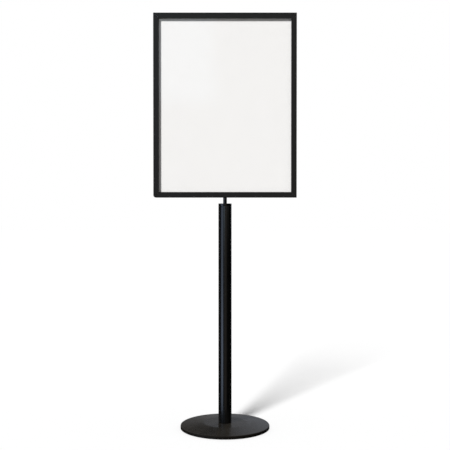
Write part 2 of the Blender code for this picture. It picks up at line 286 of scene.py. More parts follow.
class Nodes:
    """Short ways to add and link nodes in one node tree. Values may be numbers or sockets."""

    def __init__(self, tree):
        self.tree = tree

    def new(self, kind, **settings):
        node = self.tree.nodes.new(kind)
        for key, value in settings.items():
            setattr(node, key, value)
        return node

    def feed(self, socket, value):
        """Links a socket, or sets its value; colours are given as (red, green, blue)."""
        if hasattr(value, "links"):
            self.tree.links.new(value, socket)
        elif socket.type == "RGBA":
            socket.default_value = (*value, 1.0)
        else:
            socket.default_value = value

    def math(self, operation, a, b=0.0, c=None, clamp=False):
        node = self.new("ShaderNodeMath", operation=operation, use_clamp=clamp)
        for socket, value in zip(node.inputs, (a, b, c)):
            if value is not None:
                self.feed(socket, value)
        return node.outputs[0]

    def plus(self, a, b, clamp=False):
        return self.math("ADD", a, b, clamp=clamp)

    def minus(self, a, b, clamp=False):
        return self.math("SUBTRACT", a, b, clamp=clamp)

    def times(self, a, b, clamp=False):
        return self.math("MULTIPLY", a, b, clamp=clamp)

    def span(self, value, between, to=(0.0, 1.0), curve="LINEAR"):
        """Maps the range between onto the range to, held at both ends."""
        node = self.new("ShaderNodeMapRange", interpolation_type=curve)
        for i, limit in enumerate((*between, *to)):
            node.inputs[i + 1].default_value = limit
        self.feed(node.inputs[0], value)
        return node.outputs[0]

    def mix(self, factor, a, b):
        node = self.new("ShaderNodeMix", data_type="RGBA")
        for i, value in ((0, factor), (6, a), (7, b)):
            self.feed(node.inputs[i], value)
        return node.outputs[2]

    def split(self, vector):
        node = self.new("ShaderNodeSeparateXYZ")
        self.feed(node.inputs[0], vector)
        return node.outputs

    def vector_math(self, operation, a, b):
        node = self.new("ShaderNodeVectorMath", operation=operation)
        self.feed(node.inputs[0], a)
        self.feed(node.inputs["Scale" if operation == "SCALE" else 1], b)
        return node.outputs["Value" if operation == "DOT_PRODUCT" else "Vector"]


class Finish(Nodes):
    """A node material on the principled shader. Texture sizes are in metres."""

    def __init__(self, name):
        self.mat = bpy.data.materials.new(name)
        self.mat.use_nodes = True
        super().__init__(self.mat.node_tree)
        self.shader = self.tree.nodes["Principled BSDF"]

    @cached_property
    def coords(self):
        return self.new("ShaderNodeTexCoord").outputs["Object"]

    def set(self, **values):
        for key, value in values.items():
            self.feed(self.shader.inputs[key.replace("_", " ")], value)

    def stretched(self, x, y, z):
        node = self.new("ShaderNodeMapping")
        node.inputs["Scale"].default_value = (x, y, z)
        self.feed(node.inputs["Vector"], self.coords)
        return node.outputs["Vector"]

    def noise(self, size, detail=3.0, rough=0.55, vector=None, distortion=0.0):
        """Noise from 0 to 1 whose features are about size across."""
        node = self.new("ShaderNodeTexNoise")
        node.inputs["Scale"].default_value = 1.0 / size
        node.inputs["Detail"].default_value = detail
        node.inputs["Roughness"].default_value = rough
        node.inputs["Distortion"].default_value = distortion
        self.feed(node.inputs["Vector"], vector or self.coords)
        return node.outputs["Fac"]

    def specks(self, spacing, reach):
        """1 at scattered points, falling to 0 at reach times their spacing."""
        node = self.new("ShaderNodeTexVoronoi")
        node.inputs["Scale"].default_value = 1.0 / spacing
        self.feed(node.inputs["Vector"], self.coords)
        return self.span(node.outputs["Distance"], between=(0, reach), to=(1, 0))

    def weighted(self, a, a_share, b, b_share):
        return self.plus(self.times(a, a_share), self.times(b, b_share))

    def jitter(self, noise, amount):
        """Noise moved to vary around 0."""
        return self.times(self.minus(noise, 0.5), amount)

    def tint(self, colour, mask, amount, to, clamp=False):
        """Moves a colour towards another by amount where the mask is 1."""
        return self.mix(self.times(mask, amount, clamp=clamp), colour, to)

    def bump(self, height, strength, distance, over=None):
        """A normal from a height, on top of another normal where one is given."""
        node = self.new("ShaderNodeBump")
        node.inputs["Strength"].default_value = strength
        node.inputs["Distance"].default_value = distance
        self.feed(node.inputs["Height"], height)
        if over:
            self.feed(node.inputs["Normal"], over)
        return node.outputs["Normal"]

    def edges(self, radius, gain=3.0):
        """Close to 1 along edges, 0 on flat faces."""
        bevel = self.new("ShaderNodeBevel", samples=6)
        bevel.inputs["Radius"].default_value = radius
        normal = self.new("ShaderNodeNewGeometry").outputs["Normal"]
        facing = self.vector_math("DOT_PRODUCT", bevel.outputs["Normal"], normal)
        return self.times(self.minus(1.0, facing, clamp=True), gain, clamp=True)

    def upward(self):
        return self.split(self.new("ShaderNodeNewGeometry").outputs["Normal"])["Z"]

    def axis(self, index):
        return self.split(self.coords)[index]


def scale_colour(colour, factor):
    return tuple(min(1.0, channel * factor) for channel in colour)


# ------------------------------------------------------------------ finishes

def coat_finish(name, dark, light, specular, roughness, peel_size, peel_depth, speckle):
    """Sprayed black coating: orange peel, fine grit, slow changes of gloss, and rubbed edges."""
    t = Finish(name)
    slow = t.noise(size=0.09, detail=2, rough=0.5)
    cloud = t.noise(size=0.022, detail=4, rough=0.6)
    grit = t.noise(size=0.00035, detail=2, rough=0.6)
    skin = t.noise(size=peel_size, detail=2, rough=0.45)
    mottle = t.weighted(slow, 0.55, cloud, 0.45)
    worn = t.times(t.edges(radius=0.0011), t.span(cloud, between=(0.42, 0.62)), clamp=True)

    colour = t.mix(t.span(mottle, between=(0.36, 0.64)), dark, light)
    flecks = t.specks(spacing=0.0011, reach=0.22)
    colour = t.tint(
        colour, flecks, amount=speckle * 0.25, to=scale_colour(light, 3.2), clamp=True)
    colour = t.tint(colour, worn, amount=0.5, to=(0.05, 0.05, 0.052), clamp=True)

    rough = t.span(mottle, between=(0.3, 0.7), to=roughness)
    rough = t.plus(rough, t.jitter(grit, amount=0.10))
    polish = t.times(worn, 0.08)  # rubbed edges are a little glossier
    rough = t.minus(rough, polish, clamp=True)

    fine = t.bump(grit, strength=speckle, distance=0.00003)
    normal = t.bump(skin, strength=peel_depth, distance=0.00006, over=fine)
    t.set(Base_Color=colour, Roughness=rough, Normal=normal,
          Specular_IOR_Level=specular, Coat_Roughness=0.12)
    return t.mat


def base_finish():
    """Satin black over spun steel: faint turning rings, dust in the fine texture, a rubbed rim, and
    painted shade on the rim's wall.
    """
    dark, light = (0.0092, 0.0080, 0.0064), (0.0131, 0.0114, 0.0091)
    # painted shade: the rim's wall gets a darker, warmer colour than the top, by which way it faces
    wall_painted_shade = tuple(c * f for c, f in zip(dark, (0.48, 0.43, 0.39)))
    ring_pitch = 0.0021
    t = Finish("base_satin_black")
    x, y = t.axis(0), t.axis(1)
    radius = t.math("SQRT", t.plus(t.times(x, x), t.times(y, y)))
    wave = t.math("SINE", t.times(radius, 2 * math.pi / ring_pitch))
    slow = t.noise(size=0.07, detail=3, rough=0.55)
    cloud = t.noise(size=0.018, detail=4, rough=0.62)
    grit = t.noise(size=0.0006, detail=3, rough=0.6)
    mottle = t.weighted(slow, 0.5, cloud, 0.5)
    top = t.span(t.upward(), between=(0.35, 0.85))  # 0 on the rim's wall, 1 on the top
    settled = t.span(t.noise(size=0.0045, detail=5, rough=0.7), between=(0.52, 0.78))
    dust = t.times(top, settled, clamp=True)
    worn = t.times(
        t.edges(radius=0.0014, gain=2.5), t.span(cloud, between=(0.46, 0.66)), clamp=True)

    colour = t.mix(t.span(mottle, between=(0.36, 0.66)), dark, light)
    colour = t.tint(colour, dust, amount=0.035, to=(0.16, 0.150, 0.135))
    flecks = t.specks(spacing=0.0019, reach=0.16)
    colour = t.tint(colour, flecks, amount=0.03, to=(0.10, 0.10, 0.10), clamp=True)
    # painted shade on the rim's wall, with a warm scuffed tone
    colour = t.mix(top, wall_painted_shade, colour)
    colour = t.tint(colour, worn, amount=0.35, to=(0.040, 0.037, 0.033), clamp=True)

    rough = t.span(mottle, between=(0.3, 0.7), to=(0.21, 0.33))
    rough = t.plus(rough, t.jitter(grit, amount=0.14))
    dust_rough = t.times(dust, 0.12)
    rough = t.plus(rough, dust_rough, clamp=True)
    wall_rough = t.times(t.minus(1.0, top), 0.38)
    rough = t.plus(rough, wall_rough, clamp=True)

    rings = t.bump(wave, strength=0.05, distance=0.00004)
    normal = t.bump(grit, strength=0.4, distance=0.00006, over=rings)
    specular = t.span(top, between=(0, 1), to=(0.125, 0.5))
    t.set(Base_Color=colour, Roughness=rough, Normal=normal, Specular_IOR_Level=specular)
    return t.mat


def iron_finish():
    """Raw cast iron with a sandy skin and patches of rust."""
    t = Finish("cast_iron_raw")
    sand = t.noise(size=0.0012, detail=5, rough=0.7)
    lumps = t.noise(size=0.011, detail=3, rough=0.55)
    patches = t.noise(size=0.03, detail=5, rough=0.65, distortion=0.4)
    rust = t.span(patches, between=(0.55, 0.72))
    colour = t.mix(sand, (0.055, 0.053, 0.05), (0.13, 0.125, 0.118))
    colour = t.tint(colour, rust, amount=0.45, to=(0.14, 0.062, 0.03))
    rust_rough = t.times(rust, 0.12)
    rough = t.plus(t.span(sand, between=(0.2, 0.8), to=(0.55, 0.85)), rust_rough, clamp=True)
    coarse = t.bump(lumps, strength=0.5, distance=0.001)
    normal = t.bump(sand, strength=0.7, distance=0.0004, over=coarse)
    metallic = t.span(rust, between=(0, 1), to=(0.75, 0.1))
    t.set(Base_Color=colour, Roughness=rough, Normal=normal, Metallic=metallic)
    return t.mat


def rubber_finish():
    """Matt black rubber with a pale bloom."""
    t = Finish("moulded_rubber")
    grain = t.noise(size=0.0008, detail=3, rough=0.6)
    bloom = t.noise(size=0.03, detail=4, rough=0.6)
    pale = t.span(bloom, between=(0.35, 0.7))
    t.set(Base_Color=t.mix(pale, (0.012, 0.012, 0.012), (0.032, 0.031, 0.030)),
          Roughness=t.span(grain, between=(0.25, 0.75), to=(0.68, 0.92)),
          Normal=t.bump(grain, strength=0.5, distance=0.00015))
    return t.mat


def metal_finish(name, dark, light, roughness, metallic, stain):
    """Metal with fine lines across Z, stained patches and bright edges."""
    t = Finish(name)
    lines = t.noise(size=0.004, detail=3, rough=0.6, vector=t.stretched(1, 1, 14))
    spots = t.noise(size=0.006, detail=4, rough=0.65)
    tarnish = t.span(spots, between=(0.52, 0.75))
    colour = t.mix(t.span(lines, between=(0.3, 0.7)), dark, light)
    colour = t.tint(colour, tarnish, amount=0.25, to=stain)
    colour = t.tint(colour, t.edges(radius=0.0007), amount=0.4, to=scale_colour(light, 1.5))
    rough = t.span(lines, between=(0.2, 0.8), to=roughness)
    tarnish_rough = t.times(tarnish, 0.15)
    t.set(Base_Color=colour, Metallic=metallic,
          Roughness=t.plus(rough, tarnish_rough, clamp=True),
          Normal=t.bump(lines, strength=0.15, distance=0.0001))
    return t.mat


def acetal_finish():
    """Turned black plastic."""
    t = Finish("black_acetal")
    haze = t.noise(size=0.012, detail=4, rough=0.55)
    turned = t.noise(size=0.0007, detail=2, rough=0.5, vector=t.stretched(0.2, 0.2, 3.0))
    colour = t.mix(haze, (0.010, 0.010, 0.0105), (0.022, 0.022, 0.023))
    colour = t.tint(
        colour, t.edges(radius=0.0006), amount=0.4, to=(0.075, 0.075, 0.077), clamp=True)
    t.set(Base_Color=colour,
          Roughness=t.span(turned, between=(0.25, 0.75), to=(0.34, 0.52)),
          Normal=t.bump(turned, strength=0.2, distance=0.00008))
    return t.mat


def paper_finish():
    """White paper with faint fibres."""
    white = (0.793, 0.772, 0.764)
    t = Finish("white_sheet")
    fibre = t.noise(size=0.0007, detail=4, rough=0.7, vector=t.stretched(1.0, 1.0, 0.35))
    cloud = t.noise(size=0.06, detail=3, rough=0.5)
    colour = t.mix(t.span(cloud, between=(0.3, 0.7)), scale_colour(white, 0.985), white)
    fibre_share = t.span(fibre, between=(0.35, 0.8), to=(0.0, 0.05))
    t.set(Base_Color=t.mix(fibre_share, colour, (0.70, 0.695, 0.68)),
          Roughness=t.span(fibre, between=(0.2, 0.8), to=(0.62, 0.86)),
          Normal=t.bump(fibre, strength=0.12, distance=0.00008),
          Specular_IOR_Level=0.3)
    return t.mat


def board_finish():
    """Brown-grey card with fibres, cloudy patches and dark specks."""
    t = Finish("grey_board")
    fibre = t.noise(size=0.0011, detail=5, rough=0.72, vector=t.stretched(1.0, 1.0, 0.3))
    cloud = t.noise(size=0.04, detail=4, rough=0.6)
    specks = t.specks(spacing=0.0042, reach=0.16)
    fibre_share = t.span(fibre, between=(0.3, 0.7))
    cloud_share = t.span(cloud, between=(0.35, 0.7), to=(0, 0.35))
    colour = t.mix(fibre_share, (0.42, 0.37, 0.30), (0.60, 0.54, 0.45))
    colour = t.mix(cloud_share, colour, (0.66, 0.61, 0.53))
    colour = t.tint(colour, specks, amount=0.35, to=(0.22, 0.19, 0.15))
    t.set(Base_Color=colour,
          Roughness=t.span(fibre, between=(0.2, 0.8), to=(0.75, 0.95)),
          Normal=t.bump(fibre, strength=0.45, distance=0.0002))
    return t.mat


def lens_finish():
    """Clear sheet: sees through, mirrors by angle, with a trace of wiping haze and a tinted edge."""
    half_width = high("front_lens").x
    half_height = (high("front_lens").z - low("front_lens").z) / 2
    t = Finish("clear_sheet")

    def border(distance, half):
        """0 on the sheet, rising to 1 at its border."""
        return t.span(distance, between=(half - 0.0012, half - 0.0004))

    smear = t.noise(
        size=0.05, detail=4, rough=0.6, vector=t.stretched(1.0, 1.0, 0.4), distortion=0.6)
    fine = t.noise(size=0.0015, detail=3, rough=0.6, vector=t.stretched(6.0, 1.0, 0.6))
    mottle = t.weighted(smear, 0.7, fine, 0.3)

    across = t.math("ABSOLUTE", t.axis(0))
    tall = t.math("ABSOLUTE", t.minus(t.axis(2), middle("front_lens", "z")))
    rim = t.math("MAXIMUM", border(across, half_width), border(tall, half_height))
    clear = t.new("ShaderNodeBsdfTransparent")
    t.feed(clear.inputs["Color"], t.mix(rim, (0.992, 0.996, 0.995), (0.62, 0.80, 0.77)))

    t.set(Base_Color=t.mix(mottle, (0.93, 0.95, 0.95), (0.99, 1.0, 1.0)),
          Roughness=t.span(mottle, between=(0.35, 0.7), to=(0.02, 0.09)),
          Normal=t.bump(smear, strength=0.02, distance=0.0002),
          Metallic=1.0)

    # The share of mirror: a few hundredths face on, nearly all at a glancing angle, none from behind.
    seen = t.new("ShaderNodeNewGeometry").outputs
    facing = t.vector_math("DOT_PRODUCT", seen["Normal"], seen["Incoming"])
    glance = t.minus(1.0, t.math("ABSOLUTE", facing), clamp=True)
    falloff_power, glancing_share = 5.0, 0.94
    graze = t.times(t.math("POWER", glance, falloff_power), glancing_share)
    face_on = t.span(mottle, between=(0.4, 0.75), to=(0.028, 0.035))
    share = t.times(t.plus(graze, face_on, clamp=True), t.minus(1.0, seen["Backfacing"]))
    blend = t.new("ShaderNodeMixShader")
    for socket, value in zip(blend.inputs, (share, clear.outputs[0], t.shader.outputs[0])):
        t.feed(socket, value)
    t.feed(t.tree.nodes["Material Output"].inputs["Surface"], blend.outputs[0])
    return t.mat


# The finish of each material slot.
FINISHES = {
    "frame_coat": coat_finish(
        "frame_satin_black", dark=(0.0034, 0.0029, 0.0024), light=(0.0052, 0.0046, 0.0038),
        specular=0.42, roughness=(0.37, 0.47), peel_size=0.0016, peel_depth=0.35, speckle=0.25),
    "post_coat": coat_finish(
        "post_semi_gloss_black", dark=(0.0012, 0.0012, 0.0013), light=(0.0022, 0.0022, 0.0023),
        specular=0.5, roughness=(0.19, 0.25), peel_size=0.0022, peel_depth=0.25, speckle=0.12),
    "base_coat": base_finish(),
    "weight_iron": iron_finish(),
    "floor_rubber": rubber_finish(),
    "zinc_hardware": metal_finish(
        "zinc_plate", dark=(0.50, 0.52, 0.55), light=(0.66, 0.67, 0.69),
        roughness=(0.25, 0.41), metallic=1.0, stain=(0.35, 0.33, 0.28)),
    "black_hardware": metal_finish(
        "black_oxide", dark=(0.018, 0.018, 0.020), light=(0.045, 0.045, 0.047),
        roughness=(0.31, 0.47), metallic=0.6, stain=(0.06, 0.055, 0.05)),
    "bearing_plastic": acetal_finish(),
    "poster_paper": paper_finish(),
    "backing_card": board_finish(),
    "clear_lens": lens_finish(),
}


def piece(obj, body, slot, node):
    """Gives a piece its finish and lets it stand in for a CAD node of a moving body."""
    obj.data.materials.clear()
    obj.data.materials.append(FINISHES[slot])
    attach(obj, body)
    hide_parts(node)


# ------------------------------------------------------------------ base

BASE_RADIUS = high("base_cover").x
COVER_TOP = high("base_cover").z
COVER_WALL = 1.5 * MM
RIM_RADIUS = 3.5 * MM  # rounding between the slope and the rim's wall
RIM_TOP = 13.5 * MM
PLATEAU_RADIUS = 87 * MM
BEND = 6 * MM  # half width of the soft bend around the plateau
FLAT_RADIUS = PLATEAU_RADIUS - BEND
BOLT_HOLE = 6.5 * MM


def dome_z(radius):
    """Height of the base's top: a flat disc, a soft bend, then a straight slope to the rim."""
    slope = (COVER_TOP - RIM_TOP) / (BASE_RADIUS - RIM_RADIUS - PLATEAU_RADIUS)
    past = radius - FLAT_RADIUS
    if past <= 0:
        return COVER_TOP
    if past < 2 * BEND:
        return COVER_TOP - slope * past * past / (4 * BEND)
    return COVER_TOP - slope * (radius - PLATEAU_RADIUS)


def rim_arc(radius, degrees):
    """Points of an arc about the rim's rounding centre, at angles from straight up."""
    out = []
    for degree in degrees:
        angle = math.radians(degree)
        out.append((BASE_RADIUS - RIM_RADIUS + radius * math.sin(angle),
                    RIM_TOP - RIM_RADIUS + radius * math.cos(angle)))
    return out


def base_shell():
    skirt = low("base_cover").z
    bend_end, slope_end = FLAT_RADIUS + 2 * BEND, BASE_RADIUS - RIM_RADIUS
    wall_in, wall_top = BASE_RADIUS - COVER_WALL, RIM_TOP - RIM_RADIUS
    radii = [FLAT_RADIUS * k / 6 for k in range(1, 7)]
    radii += [FLAT_RADIUS + 2 * BEND * k / 8 for k in range(1, 9)]
    radii += [bend_end + (slope_end - bend_end) * k / 10 for k in range(1, 11)]
    outline = [(radius, dome_z(radius)) for radius in radii]
    outline += rim_arc(RIM_RADIUS, (10, 22, 34, 46, 58, 70, 80, 90))
    outline += fillet([
        (BASE_RADIUS, wall_top), (BASE_RADIUS, skirt, 0.7 * MM),
        (wall_in, skirt, 0.7 * MM), (wall_in, wall_top)], steps=4)[1:-1]
    outline.append((wall_in, wall_top))
    outline += rim_arc(RIM_RADIUS - COVER_WALL, (60, 30, 0))
    under_radii = (155 * MM, 125 * MM, PLATEAU_RADIUS + BEND, PLATEAU_RADIUS + BEND / 3,
                   PLATEAU_RADIUS - BEND / 3, FLAT_RADIUS)
    outline += [(radius, dome_z(radius) - COVER_WALL) for radius in under_radii]
    outline += [(BOLT_HOLE, COVER_TOP - COVER_WALL), (BOLT_HOLE, COVER_TOP)]
    return lathe("base_shell", outline, 192)


def floor_ring():
    """A flat rubber ring with two grooves in its underside."""
    inner, outer, top = 150 * MM, high("floor_ring").x, high("floor_ring").z
    groove_depth = 0.9 * MM
    outline = [(inner, 0, 0.8 * MM)]
    for start in (inner + 8 * MM, outer - 9 * MM):
        outline += [
            (start, 0, 0.3 * MM), (start + 0.6 * MM, groove_depth, 0.2 * MM),
            (start + 2.4 * MM, groove_depth, 0.2 * MM), (start + 3 * MM, 0, 0.3 * MM)]
    outline += [(outer, 0, 0.8 * MM), (outer, top, 0.4 * MM), (inner, top, 0.4 * MM)]
    return lathe("rubber_floor_ring", fillet(outline, steps=3), 144)


def base_weight():
    """A cast disc that follows the underside of the cover, recessed around the bolt."""
    outer, z0, z1 = high("base_weight").x, low("base_weight").z, high("base_weight").z
    below = COVER_TOP - z1
    recess_radius, recess_top = 17 * MM, 13.1 * MM
    outline = fillet([
        (BOLT_HOLE, z1, 0.4 * MM),
        (FLAT_RADIUS, z1, 20 * MM),
        (outer - 3.5 * MM, RIM_TOP - below - 0.7 * MM, 1 * MM),
        (outer, RIM_TOP - below - 3.5 * MM, 1 * MM),
        (outer, z0, 1.2 * MM),
        (recess_radius, z0, 1.0 * MM),
        (recess_radius, recess_top, 0.6 * MM),
        (BOLT_HOLE, recess_top, 0.3 * MM)], steps=4)

    def cast(angle, radius, z):
        """Slight unevenness everywhere but on the underside."""
        if z <= z0 + 1 * MM:
            return 0.0
        return 0.12 * MM * math.sin(5 * angle + 40 * radius) * math.cos(3 * angle - 90 * radius)

    return lathe("cast_base_weight", outline, 144, wobble=cast)


def base_bolt():
    """M12 bolt, head down."""
    head_low, head_top, top = low("base_bolt").z, 8 * MM, high("base_bolt").z
    apothem, shank = 9.5 * MM, 6 * MM
    reach = apothem / math.cos(math.pi / 6)
    outline = [
        (0, head_low + 0.15 * MM), (apothem * 0.90, head_low + 0.15 * MM),
        (apothem * 0.94, head_low)]
    first_hex = len(outline)
    for k in range(6):
        outline.append((apothem * 0.95 + (reach - apothem * 0.95) * k / 5,
                        head_low + 0.05 * MM + 1.5 * MM * k / 5))
    outline += [(reach, head_top - 0.8 * MM), (reach * 0.99, head_top - 0.4 * MM)]
    hex_points = range(first_hex, len(outline))
    outline += [
        (apothem * 0.97, head_top), (shank + 0.5 * MM, head_top), (shank, head_top + 0.5 * MM)]
    outline += thread(
        start=head_top + 12 * MM, stop=top - 1.6 * MM, pitch=1.7 * MM,
        tooth=((shank - 0.05 * MM, 0), (shank - 0.75 * MM, 0.85 * MM)))
    outline += [(shank - 0.05 * MM, top - 1.0 * MM), (shank - 1.0 * MM, top), (0, top)]

    def shape(i, angle, radius):
        return min(radius, apothem * hexed(angle)) if i in hex_points else radius

    return lathe("base_bolt_m12", outline, 96, shape)


def split_tool(node):
    """A thin slanted blade across the +X side of a ring."""
    half = (high(node).z - low(node).z) / 2 + 2 * MM
    tool = linked("split", cuboid((4 * MM, -0.5 * MM, -half), (13 * MM, 0.5 * MM, half)))
    lift = Matrix.Translation((0, 0, middle(node, "z")))
    tool.data.transform(lift @ Matrix.Rotation(math.radians(35), 4, "X"))
    return tool


piece(base_shell(), "base", "base_coat", "base_cover")
piece(floor_ring(), "base", "floor_rubber", "floor_ring")
piece(base_weight(), "base", "weight_iron", "base_weight")
piece(base_bolt(), "base", "zinc_hardware", "base_bolt")

for node in ("base_lock_washer", "base_washer"):
    washer = sleeve(
        node + "_turned", node, bore=BOLT_HOLE, edges=(0.35 * MM,) * 4, segments=72, steps=3)
    if node == "base_lock_washer":
        carve(washer, [split_tool(node)])
    piece(washer, "base", "zinc_hardware", node)

foot_plug = sleeve(
    "foot_plug", "foot_insert", bore=6.35 * MM,
    edges=(0.5 * MM, 0.8 * MM, 0.8 * MM, 0.8 * MM), segments=96, steps=3)
piece(foot_plug, "base", "zinc_hardware", "foot_insert")


# ------------------------------------------------------------------ post

POST_RADIUS = high("post_tube").x
TUBE_BORE = POST_RADIUS - 1.6 * MM
LOCK_Z = middle("lock_screw", "z")
LOCK_HOLE = 3.3 * MM


def lock_tool(name, y0, y1, tip=None):
    """Cuts along Y at the height of the lock screw."""
    return round_tool(name, LOCK_HOLE, (0, y0, LOCK_Z), (0, y1, LOCK_Z), tip=tip)


def post_cap():
    """A plug in the top of the tube: a head, a neck with a relief, and a blind bore."""
    bottom, top = low("post_cap").z, high("post_cap").z
    seat = top - 10 * MM
    fit = TUBE_BORE - 0.3 * MM
    relief = fit - 0.6 * MM
    bore, floor_z = 11 * MM, top - 30 * MM
    outline = fillet([
        (0, bottom), (fit, bottom, 1.2 * MM),
        (fit, seat - 1.5 * MM, 0.3 * MM), (relief, seat - 1.2 * MM, 0.2 * MM),
        (relief, seat, 0.2 * MM), (POST_RADIUS, seat, 0.45 * MM),
        (POST_RADIUS, top, 1.1 * MM), (bore, top, 0.5 * MM),
        (bore, floor_z, 0.3 * MM), (0, floor_z)], steps=6)
    cap = lathe("post_cap_turned", outline, 160)
    return carve(cap, [
        lock_tool("cap_hole", 5 * MM, 40 * MM),
        lock_tool("cap_sink", POST_RADIUS - 0.75 * MM, POST_RADIUS + 0.6 * MM, tip=4.6 * MM)])


def stem_bush():
    bush = sleeve(
        "stem_bush_turned", "stem_bush", bore=7.8 * MM,
        edges=(0.4 * MM, 0.6 * MM, 0.5 * MM, 0.5 * MM), segments=96, steps=4)
    return carve(bush, [lock_tool("bush_hole", 5 * MM, 14 * MM)])


def thrust_disc():
    radius, z0, z1 = high("thrust_disc").x, low("thrust_disc").z, high("thrust_disc").z
    outline = [(0, z0), (radius, z0, 0.4 * MM), (radius, z1, 0.5 * MM), (0, z1)]
    return lathe("thrust_disc_turned", fillet(outline, steps=3), 96)


def lock_screw():
    """M6 grub screw with a hex socket in its +Y end."""
    start = low("lock_screw").y
    length = high("lock_screw").y - start
    crest, root = 2.95 * MM, 2.45 * MM
    outline = [
        (0, 0), (1.8 * MM, 0), (2.2 * MM, 0.3 * MM), (2.2 * MM, 1.5 * MM), (2.7 * MM, 1.6 * MM)]
    outline += thread(
        start=2.0 * MM, stop=length - 1.3 * MM, pitch=1.0 * MM,
        tooth=((crest, 0), (crest, 0.12 * MM), (root, 0.5 * MM), (root, 0.6 * MM)))
    outline += [(2.9 * MM, length - 0.5 * MM), (2.4 * MM, length)]
    socket = len(outline)
    outline += [
        (1.62 * MM, length), (1.5 * MM, length - 0.25 * MM),
        (1.5 * MM, length - 4 * MM), (0, length - 4.6 * MM)]
    shape = hex_rings(range(socket, socket + 3))
    screw = lathe("lock_screw_m6", outline, 72, shape, smooth=25)
    return lay_along_y(screw, 0, start, LOCK_Z)


post_tube = sleeve(
    "post_tube_drawn", "post_tube", bore=TUBE_BORE,
    edges=(0.3 * MM, 0.5 * MM, 0.45 * MM, 0.3 * MM), segments=160, steps=4)
piece(post_tube, "base", "post_coat", "post_tube")
piece(post_cap(), "base", "post_coat", "post_cap")
piece(stem_bush(), "base", "bearing_plastic", "stem_bush")
piece(thrust_disc(), "base", "bearing_plastic", "thrust_disc")
piece(lock_screw(), "lock_screw", "black_hardware", "lock_screw")


# ------------------------------------------------------------------ sign head

FRAME_LOW, FRAME_HIGH = low("bottom_rail").z, high("top_rail").z
FRAME_HEIGHT = FRAME_HIGH - FRAME_LOW
FRAME_MIDDLE = (FRAME_LOW + FRAME_HIGH) / 2
HALF_WIDTH = high("right_rail").x
HALF_DEPTH = high("right_rail").y
RAIL_FACE = 22 * MM  # width of a rail seen from the front
RAIL_WEB = 5 * MM  # solid part between the outer edge and the groove
HALF_GROOVE = 5 * MM
SLOT_HALF_LENGTH = 280 * MM
MITRE_GAP = 0.2 * MM
KEY_HOLE = 2.0 * MM
STUD_HOLE = 4.3 * MM
BAR_SCREWS_X = (-20 * MM, 20 * MM)
SCREW_PLACES = {
    name: Vector((middle(name, "x"), 0, middle(name, "z")))
    for name in BOX if name.startswith("key_screw_")}


def rail(name, length, x, z, turn):
    """A mitred bar along X, its outer edge on the ground and its inner edge up, then turned
    about Y into place."""
    half = length / 2 - MITRE_GAP
    lip = HALF_GROOVE + 0.35 * MM  # the inner lips lean in a touch
    lip_z = RAIL_FACE - 1.2 * MM
    # (y, z) loops: the section with its groove, then a hollow on each side of the groove
    loops = [[
        (-HALF_DEPTH, 0), (HALF_DEPTH, 0), (HALF_DEPTH, RAIL_FACE), (lip, RAIL_FACE),
        (HALF_GROOVE, lip_z), (HALF_GROOVE, RAIL_WEB),
        (-HALF_GROOVE, RAIL_WEB), (-HALF_GROOVE, lip_z),
        (-lip, RAIL_FACE), (-HALF_DEPTH, RAIL_FACE)]]
    for side in (-1, 1):
        near, far, bottom, top = side * 6.5 * MM, side * 11 * MM, 4.4 * MM, 20.4 * MM
        loops.append([(near, bottom), (far, bottom), (far, top), (near, top)])
    bm = bmesh.new()
    ends = [[[bm.verts.new((side * (half - up), across, up)) for across, up in loop]
             for loop in loops] for side in (-1, 1)]
    for left, right in zip(*ends):
        join_rings(bm, left, right)
    for rings in ends:
        edges = [bm.edges.get((ring[i], ring[(i + 1) % len(ring)]))
                 for ring in rings for i in range(len(ring))]
        bmesh.ops.triangle_fill(bm, edges=edges, use_beauty=True, use_dissolve=False)
    obj = made(name, bm)
    cos, sin = math.cos(turn), math.sin(turn)
    for v in obj.data.vertices:
        along, y, up = v.co
        v.co = Vector((x + along * cos + up * sin, y, z - along * sin + up * cos))
    return obj


def corner_tool():
    """Everything outside the rounded lower left corner."""
    radius, reach, half_depth = 10 * MM, 4 * MM, 30 * MM
    left, bottom = -HALF_WIDTH, FRAME_LOW
    outline = [(left - reach, bottom - reach), (left + radius, bottom - reach)]
    for k in range(17):
        angle = math.radians(270 - 90 * k / 16)
        outline.append((left + radius + radius * math.cos(angle),
                        bottom + radius + radius * math.sin(angle)))
    outline.append((left - reach, bottom + radius))
    bm = bmesh.new()
    near = [bm.verts.new((x, -half_depth, z)) for x, z in outline]
    far = [bm.verts.new((x, half_depth, z)) for x, z in outline]
    bm.faces.new(near)
    bm.faces.new(far[::-1])
    for i in range(len(outline)):
        j = (i + 1) % len(outline)
        bm.faces.new((near[j], near[i], far[i], far[j]))
    return linked("corner", bm)


def soften(obj):
    mod = obj.modifiers.new("softened_edges", "BEVEL")
    mod.width, mod.segments = 0.6 * MM, 3
    mod.limit_method, mod.angle_limit = "ANGLE", math.radians(32)
    mod.use_clamp_overlap = True
    mod.miter_outer = "MITER_ARC"


def key_hole_tool(at, y0, y1):
    return round_tool("hole", KEY_HOLE, (at.x, y0, at.z), (at.x, y1, at.z), segments=32)


def rail_shape_tools(node):
    """Cutters whose edges are softened with the rail's."""
    tools = []
    if node in ("bottom_rail", "left_rail"):
        tools.append(corner_tool())
    if node == "top_rail":  # a slot from the groove out through the top
        tools.append(linked("slot", cuboid(
            (-SLOT_HALF_LENGTH, -HALF_GROOVE, FRAME_HIGH - RAIL_WEB - 2 * MM),
            (SLOT_HALF_LENGTH, HALF_GROOVE, FRAME_HIGH + 5 * MM))))
    return tools


